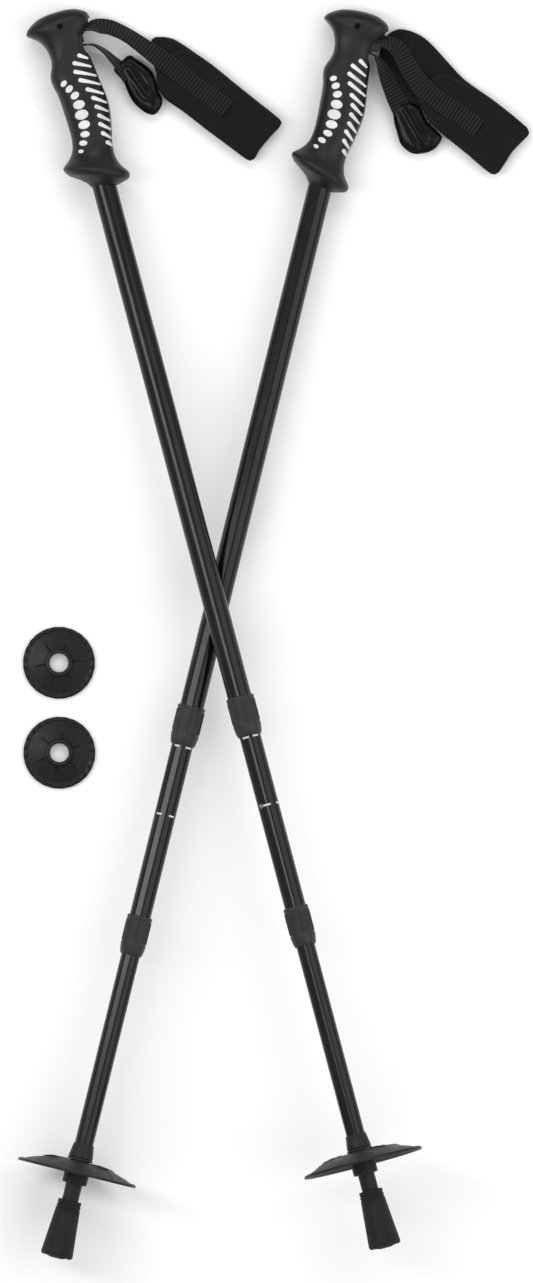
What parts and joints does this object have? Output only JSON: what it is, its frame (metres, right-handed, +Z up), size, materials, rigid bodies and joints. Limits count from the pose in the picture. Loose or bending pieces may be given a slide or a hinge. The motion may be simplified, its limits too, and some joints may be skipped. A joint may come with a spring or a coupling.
{
  "type": "trekking poles",
  "caption": "Pair of three-section telescoping trekking poles with contoured grips, padded wrist straps, domed snow baskets and rubber feet, lying crossed beside spare baskets.",
  "frame": {"origin": "centre of the laid-out set on the floor plane", "axes": "+X right and +Y towards the grips of the layout, +Z up off the floor"},
  "size_m": [0.3816, 0.934, 0.1254],
  "materials": {
    "grip_rubber": "matte charcoal, fine grained",
    "inlay": "matte light grey",
    "steel": "bright screw steel",
    "grey_plastic": "plain moulded grey",
    "webbing": "ribbed black webbing",
    "pad": "black padded fabric with piped edge",
    "gloss_plastic": "glossy black",
    "tube": "gloss black anodised",
    "collar_plastic": "satin dark grey",
    "carbide": "ground hard metal",
    "basket_plastic": "satin dark grey",
    "foot_rubber": "matte black rubber"
  },
  "bodies": {
    "right_upper": {"right_grip": "grip_rubber", "right_grip_dots": "inlay", "right_grip_bars": "inlay", "right_head_screw": "steel", "right_upper_tube": "tube", "right_upper_collar": "collar_plastic"},
    "right_strap": {"right_strap_webbing": "webbing", "right_strap_pad": "pad", "right_strap_tab": "gloss_plastic"},
    "right_wedge": {"right_strap_wedge": "grey_plastic"},
    "right_middle_lock": {"right_middle_expander": "grey_plastic"},
    "right_middle_nut": {"right_middle_cone": "grey_plastic"},
    "right_middle": {"right_middle_tube": "tube", "right_middle_plug": "grey_plastic", "right_lower_collar": "collar_plastic"},
    "right_lower_lock": {"right_lower_expander": "grey_plastic"},
    "right_lower_nut": {"right_lower_cone": "grey_plastic"},
    "right_lower": {"right_lower_tube": "tube", "right_lower_plug": "grey_plastic", "right_ferrule": "collar_plastic", "right_carbide_tip": "carbide"},
    "right_basket": {"right_snow_basket": "basket_plastic"},
    "right_foot": {"right_rubber_tip": "foot_rubber"},
    "left_upper": {"left_grip": "grip_rubber", "left_grip_dots": "inlay", "left_grip_bars": "inlay", "left_head_screw": "steel", "left_upper_tube": "tube", "left_upper_collar": "collar_plastic"},
    "left_strap": {"left_strap_webbing": "webbing", "left_strap_pad": "pad", "left_strap_tab": "gloss_plastic"},
    "left_wedge": {"left_strap_wedge": "grey_plastic"},
    "left_middle_lock": {"left_middle_expander": "grey_plastic"},
    "left_middle_nut": {"left_middle_cone": "grey_plastic"},
    "left_middle": {"left_middle_tube": "tube", "left_middle_plug": "grey_plastic", "left_lower_collar": "collar_plastic"},
    "left_lower_lock": {"left_lower_expander": "grey_plastic"},
    "left_lower_nut": {"left_lower_cone": "grey_plastic"},
    "left_lower": {"left_lower_tube": "tube", "left_lower_plug": "grey_plastic", "left_ferrule": "collar_plastic", "left_carbide_tip": "carbide"},
    "left_basket": {"left_snow_basket": "basket_plastic"},
    "left_foot": {"left_rubber_tip": "foot_rubber"},
    "spare_a": {"spare_basket_a": "basket_plastic"},
    "spare_b": {"spare_basket_b": "basket_plastic"}
  },
  "joints": [
    {"name": "right_strap_swing", "type": "hinge", "parent": "right_upper", "child": "right_strap", "pos_m": [0.06768, 0.44033, 0.01676], "axis": [0, 0, 1], "range_deg": [-7, 3]},
    {"name": "right_wedge_pull", "type": "slide", "parent": "right_strap", "child": "right_wedge", "axis": [0.9709, -0.2394, 0], "range_m": [-0.0044, 0.0015]},
    {"name": "right_extend_middle", "type": "slide", "parent": "right_upper", "child": "right_middle_lock", "axis": [-0.2393, -0.9704, 0.0325], "range_m": [-0.125, 0.2]},
    {"name": "right_twist_middle", "type": "hinge", "parent": "right_middle_lock", "child": "right_middle", "pos_m": [-0.09977, -0.20962, 0.03859], "axis": [-0.2393, -0.9704, 0.0325], "range_deg": [0, 360]},
    {"name": "right_nut_middle", "type": "slide", "parent": "right_middle_lock", "child": "right_middle_nut", "axis": [-0.2393, -0.9704, 0.0325], "range_m": [0, 0.0021]},
    {"name": "right_extend_lower", "type": "slide", "parent": "right_middle", "child": "right_lower_lock", "axis": [-0.2393, -0.9704, 0.0325], "range_m": [-0.13, 0.2]},
    {"name": "right_twist_lower", "type": "hinge", "parent": "right_lower_lock", "child": "right_lower", "pos_m": [-0.14164, -0.37944, 0.04428], "axis": [-0.2393, -0.9704, 0.0325], "range_deg": [0, 360]},
    {"name": "right_nut_lower", "type": "slide", "parent": "right_lower_lock", "child": "right_lower_nut", "axis": [-0.2393, -0.9704, 0.0325], "range_m": [0, 0.0021]},
    {"name": "right_basket_turn", "type": "hinge", "parent": "right_lower", "child": "right_basket", "pos_m": [-0.14643, -0.39885, 0.04493], "axis": [-0.2393, -0.9704, 0.0325], "continuous": true},
    {"name": "right_foot_pull", "type": "slide", "parent": "right_lower", "child": "right_foot", "axis": [-0.2393, -0.9704, 0.0325], "range_m": [0, 0.06]},
    {"name": "left_pole_lift", "type": "slide", "parent": "right_upper", "child": "left_upper", "axis": [0, 0, 1], "range_m": [0, 0.2]},
    {"name": "left_strap_swing", "type": "hinge", "parent": "left_upper", "child": "left_strap", "pos_m": [-0.14838, 0.4439, 0.01698], "axis": [0, 0, 1], "range_deg": [-7, 3]},
    {"name": "left_wedge_pull", "type": "slide", "parent": "left_strap", "child": "left_wedge", "axis": [0.9666, 0.2563, 0], "range_m": [0, 0.005]},
    {"name": "left_extend_middle", "type": "slide", "parent": "left_upper", "child": "left_middle_lock", "axis": [0.2556, -0.964, 0.0733], "range_m": [-0.125, 0.2]},
    {"name": "left_twist_middle", "type": "hinge", "parent": "left_middle_lock", "child": "left_middle", "pos_m": [0.01573, -0.20232, 0.066], "axis": [0.2556, -0.964, 0.0733], "range_deg": [0, 360]},
    {"name": "left_nut_middle", "type": "slide", "parent": "left_middle_lock", "child": "left_middle_nut", "axis": [0.2556, -0.964, 0.0733], "range_m": [0, 0.0021]},
    {"name": "left_extend_lower", "type": "slide", "parent": "left_middle", "child": "left_lower_lock", "axis": [0.2556, -0.964, 0.0733], "range_m": [-0.13, 0.2]},
    {"name": "left_twist_lower", "type": "hinge", "parent": "left_lower_lock", "child": "left_lower", "pos_m": [0.06046, -0.37102, 0.07884], "axis": [0.2556, -0.964, 0.0733], "range_deg": [0, 360]},
    {"name": "left_nut_lower", "type": "slide", "parent": "left_lower_lock", "child": "left_lower_nut", "axis": [0.2556, -0.964, 0.0733], "range_m": [0, 0.0021]},
    {"name": "left_basket_turn", "type": "hinge", "parent": "left_lower", "child": "left_basket", "pos_m": [0.06557, -0.3903, 0.08031], "axis": [0.2556, -0.964, 0.0733], "continuous": true},
    {"name": "left_foot_pull", "type": "slide", "parent": "left_lower", "child": "left_foot", "axis": [0.2556, -0.964, 0.0733], "range_m": [0, 0.06]},
    {"name": "spare_a_lift", "type": "slide", "parent": "right_upper", "child": "spare_a", "axis": [0, 0, 1], "range_m": [0, 0.1]},
    {"name": "spare_b_lift", "type": "slide", "parent": "right_upper", "child": "spare_b", "axis": [0, 0, 1], "range_m": [0, 0.1]}
  ],
  "couplings": [
    {"joint": "right_nut_middle", "follows": "right_twist_middle", "m_per_rad": 0.00031831},
    {"joint": "right_nut_lower", "follows": "right_twist_lower", "m_per_rad": 0.00031831},
    {"joint": "left_nut_middle", "follows": "left_twist_middle", "m_per_rad": 0.00031831},
    {"joint": "left_nut_lower", "follows": "left_twist_lower", "m_per_rad": 0.00031831}
  ]
}
